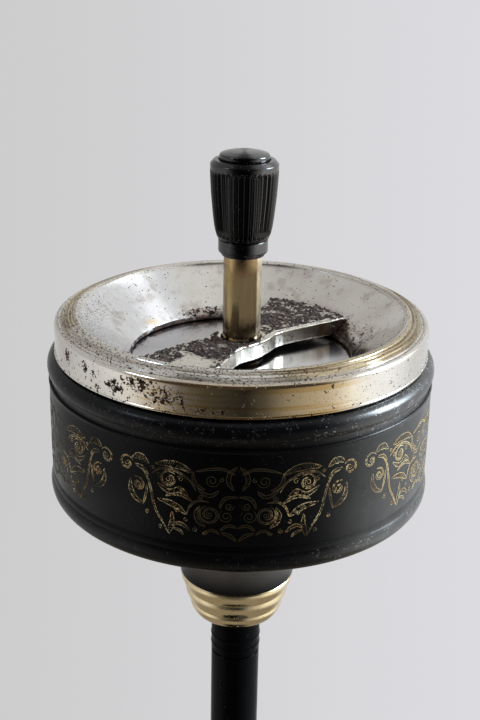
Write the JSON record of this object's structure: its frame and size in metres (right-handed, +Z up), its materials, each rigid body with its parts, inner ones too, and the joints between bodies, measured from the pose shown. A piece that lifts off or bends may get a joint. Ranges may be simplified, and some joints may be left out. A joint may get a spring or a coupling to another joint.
{
  "type": "ashtray stand",
  "caption": "Floor-standing push-down spinning ashtray: funnel tray with a bridge and fluted knob on a round bowl, carried by a slim pole on a weighted base.",
  "frame": {"origin": "centre of the base's underside, on the floor", "axes": "+Z up along the pole; -Y is the front; the bridge over the tray points 52 degrees from +X towards +Y"},
  "size_m": [0.2228, 0.2228, 0.6215],
  "materials": {
    "aged_nickel": "tarnished satin nickel plate",
    "bridge_nickel": "pitted nickel plate with rust specks",
    "aged_brass": "worn polished brass",
    "black_enamel": "satin stove enamel, worn along its edges",
    "bakelite": "polished black phenolic",
    "steel": "plain mill steel",
    "cast_iron": "rough casting",
    "felt": "pressed felt"
  },
  "bodies": {
    "stand": {"bowl_wall": "black_enamel", "bowl_floor": "black_enamel", "neck_cone": "black_enamel", "neck_collar": "aged_brass", "pole_ferrule": "black_enamel", "pole": "black_enamel", "tie_rod": "steel", "bowl_washer": "steel", "bowl_nut": "steel", "base_collar": "aged_brass", "base_cover": "black_enamel", "base_trim": "aged_nickel", "base_weight": "cast_iron", "base_washer": "steel", "base_nut": "steel", "base_felt": "felt"},
    "tray": {"funnel_tray": "aged_nickel", "locating_ring": "steel", "bridge": "bridge_nickel", "guide_bush": "aged_brass", "spindle_bracket": "steel", "bracket_rivet_1": "steel", "bracket_rivet_2": "steel", "bracket_rivet_3": "steel", "bracket_rivet_4": "steel", "twisted_spindle": "steel", "spindle_nut": "aged_brass", "return_spring": "steel"},
    "plunger": {"knob": "bakelite", "knob_cap": "bakelite", "knob_collar": "bakelite", "plunger_tube": "aged_brass", "stop_collar": "aged_brass", "retaining_ring": "steel", "spring_washer": "steel"},
    "spinner": {"spinner_plate": "aged_nickel", "spinner_hub": "aged_brass", "drive_plate": "steel", "hub_rivet_1": "steel", "hub_rivet_2": "steel", "hub_rivet_3": "steel"}
  },
  "joints": [
    {"name": "tray_lift", "type": "slide", "parent": "stand", "child": "tray", "axis": [0, 0, 1], "range_m": [0, 0.055]},
    {"name": "knob_press", "type": "slide", "parent": "tray", "child": "plunger", "axis": [0, 0, -1], "range_m": [0, 0.015], "stiffness_N_per_m": 350, "springref_m": -0.012, "deforming": ["return_spring"]},
    {"name": "plate_spin", "type": "hinge", "parent": "plunger", "child": "spinner", "pos_m": [0, 0, 0.55], "axis": [0, 0, 1], "range_deg": [0, 230]}
  ],
  "couplings": [
    {"joint": "plate_spin", "follows": "knob_press", "rad_per_m": 261.8}
  ]
}
